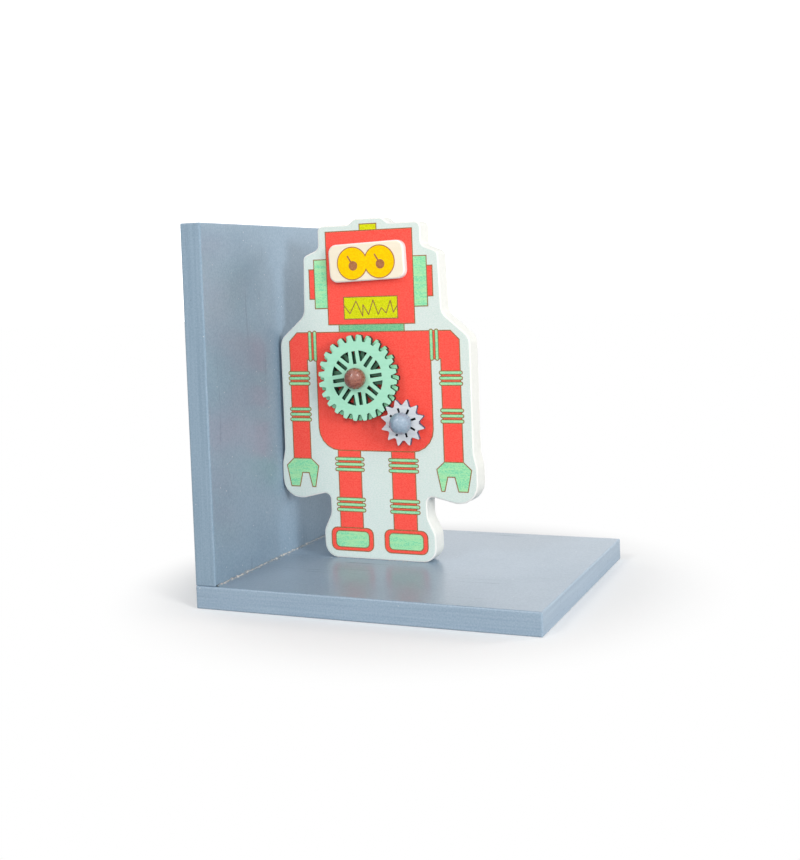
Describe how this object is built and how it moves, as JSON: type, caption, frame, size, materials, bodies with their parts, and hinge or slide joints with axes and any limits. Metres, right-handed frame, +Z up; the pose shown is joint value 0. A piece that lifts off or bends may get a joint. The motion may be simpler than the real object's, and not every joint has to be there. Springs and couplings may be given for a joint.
{
  "type": "robot bookend",
  "caption": "L-shaped painted bookend carrying a flat cut-out toy robot with a raised eye plate and a pair of meshing chest gears that turn on ball-headed pegs.",
  "frame": {"origin": "middle of the base's underside", "axes": "+Z up, the robot faces -Y, the upright stands at the -X end"},
  "size_m": [0.14, 0.12, 0.151],
  "materials": {
    "panel_paint": "satin blue-grey paint on fibreboard",
    "glue": "dried wood glue",
    "screw_steel": "zinc plated",
    "board_white": "white painted edge",
    "sheet_pale": "pale printed paper with a fine linen tooth",
    "ink_red": "matt print",
    "ink_green": "matt print",
    "ink_deep_green": "matt print",
    "ink_yellow": "matt print",
    "ink_line": "matt print",
    "plate_cream": "cream paint",
    "ink_gold": "matt print",
    "ink_brown": "matt print",
    "gear_mint": "matt",
    "gear_silver": "satin",
    "peg_brown": "glossy lacquer",
    "peg_grey": "satin lacquer",
    "spacer_wood": "bare birch"
  },
  "bodies": {
    "bookend": {"base_panel": "panel_paint", "upright_panel": "panel_paint", "glue_bead": "glue", "upright_screws": "screw_steel", "figure_screws": "screw_steel", "figure_board": "board_white", "face_sheet": "sheet_pale", "red_ink": "ink_red", "green_ink": "ink_green", "neck_ink": "ink_deep_green", "yellow_ink": "ink_yellow", "line_ink": "ink_line", "eye_plate": "plate_cream", "eye_gold_ink": "ink_gold", "eye_brown_ink": "ink_brown", "big_gear_peg": "peg_brown", "small_gear_peg": "peg_grey", "big_gear_spacer": "spacer_wood", "small_gear_spacer": "spacer_wood"},
    "big_gear": {"big_gear_front": "gear_mint", "big_gear_back": "gear_mint"},
    "small_gear": {"small_gear": "gear_silver"}
  },
  "joints": [
    {"name": "big_gear_turn", "type": "hinge", "parent": "bookend", "child": "big_gear", "pos_m": [-0.0216, -0.0025, 0.0854], "axis": [0, -1, 0], "continuous": true},
    {"name": "small_gear_turn", "type": "hinge", "parent": "bookend", "child": "small_gear", "pos_m": [-0.00207, -0.0025, 0.06719], "axis": [0, -1, 0], "continuous": true}
  ],
  "couplings": [
    {"joint": "small_gear_turn", "follows": "big_gear_turn", "ratio": -2}
  ]
}
